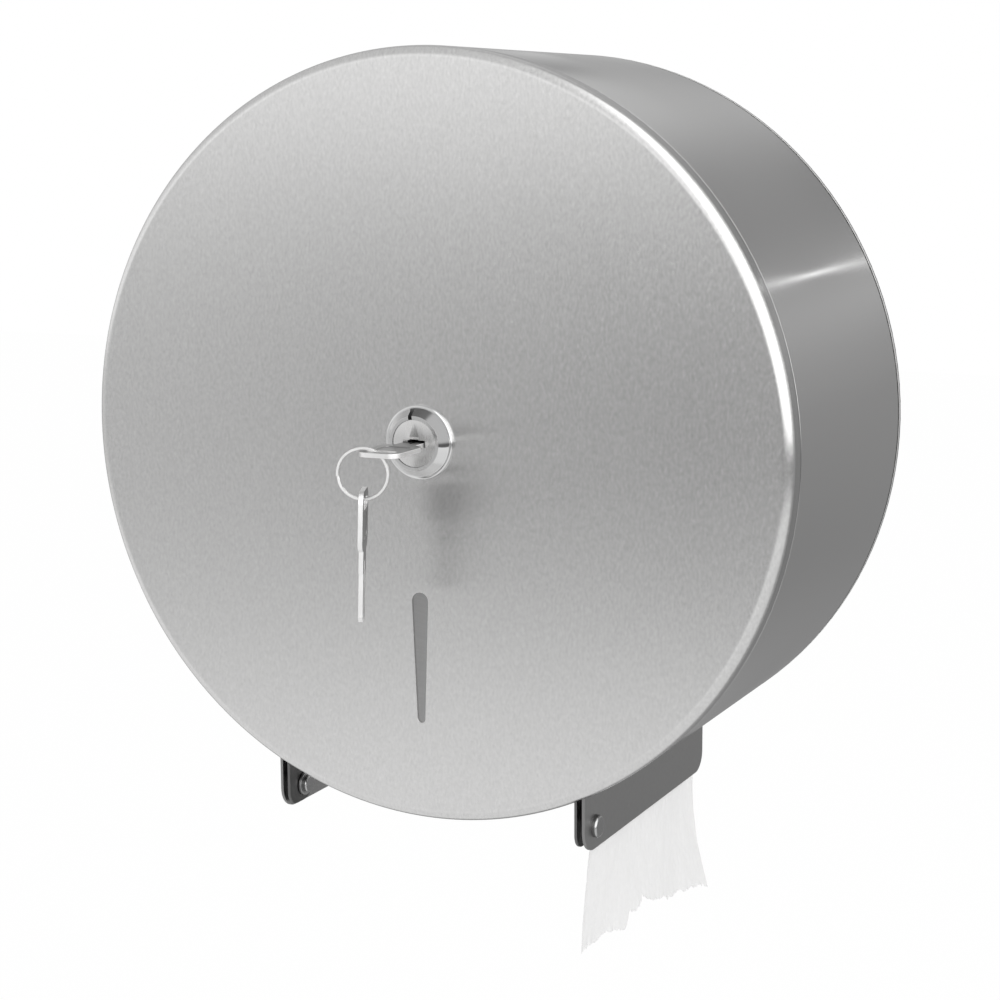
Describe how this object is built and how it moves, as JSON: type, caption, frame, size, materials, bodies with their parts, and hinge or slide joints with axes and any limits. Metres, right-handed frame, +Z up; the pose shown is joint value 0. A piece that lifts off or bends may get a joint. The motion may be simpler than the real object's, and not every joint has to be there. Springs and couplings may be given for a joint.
{
  "type": "jumbo toilet roll dispenser",
  "caption": "Round wall-mounted steel drum that holds a jumbo toilet roll on a fixed spindle, with a hinged lid, a level slot, a cam lock with keys and a paper gate at the bottom.",
  "frame": {"origin": "centre of the back plate's face that lies on the wall", "axes": "+Z up, +Y into the wall, the lid faces -Y, +X to the right as seen from the front"},
  "size_m": [0.26, 0.1572, 0.314],
  "materials": {
    "brushed_steel": "stainless steel, brushed in one direction",
    "zinc_steel": "plain steel, slightly dull",
    "chromed_brass": "bright chrome plate",
    "nickel_plate": "bright nickel plate",
    "cardboard": "plain grey-brown cardboard",
    "tissue": "soft white tissue paper with a fine emboss"
  },
  "bodies": {
    "drum": {"drum_band": "brushed_steel", "back_plate": "brushed_steel", "spindle_base": "brushed_steel", "spindle_post": "brushed_steel", "spindle_keeper": "brushed_steel", "spindle_rivets": "zinc_steel", "hinge_rivets": "zinc_steel", "hinge_spacers": "zinc_steel", "hinge_washers": "zinc_steel", "paper_tail": "tissue"},
    "lid": {"front_lid": "brushed_steel", "hinge_ear_left": "brushed_steel", "hinge_ear_right": "brushed_steel", "lock_barrel": "chromed_brass", "lock_washer": "zinc_steel", "lock_nut": "chromed_brass"},
    "plug": {"lock_plug": "chromed_brass", "lock_cam": "chromed_brass", "cam_screw": "chromed_brass"},
    "key": {"lock_key": "nickel_plate"},
    "ring": {"key_ring": "nickel_plate"},
    "spare": {"spare_key": "nickel_plate"},
    "roll": {"roll_core": "cardboard", "paper_roll": "tissue"}
  },
  "joints": [
    {"name": "lid_hinge", "type": "hinge", "parent": "drum", "child": "lid", "pos_m": [0, -0.1095, -0.12803], "axis": [1, 0, 0], "range_deg": [0, 100]},
    {"name": "lock_turn", "type": "hinge", "parent": "lid", "child": "plug", "pos_m": [0.0008, -0.115, 0.0007], "axis": [0, 1, 0], "range_deg": [0, 90]},
    {"name": "key_slide", "type": "slide", "parent": "plug", "child": "key", "axis": [0, -1, 0], "range_m": [0, 0.025]},
    {"name": "ring_swing", "type": "hinge", "parent": "key", "child": "ring", "pos_m": [-0.00565, -0.14977, 0.00201], "axis": [0.9511, 0.309, 0], "range_deg": [-20, 7]},
    {"name": "spare_swing", "type": "hinge", "parent": "ring", "child": "spare", "pos_m": [-0.00565, -0.14977, -0.01464], "axis": [0.9511, 0.309, 0], "range_deg": [-18, 12]},
    {"name": "roll_spin", "type": "hinge", "parent": "drum", "child": "roll", "pos_m": [0, -0.0538, -0.0107], "axis": [0, 1, 0], "continuous": true}
  ]
}
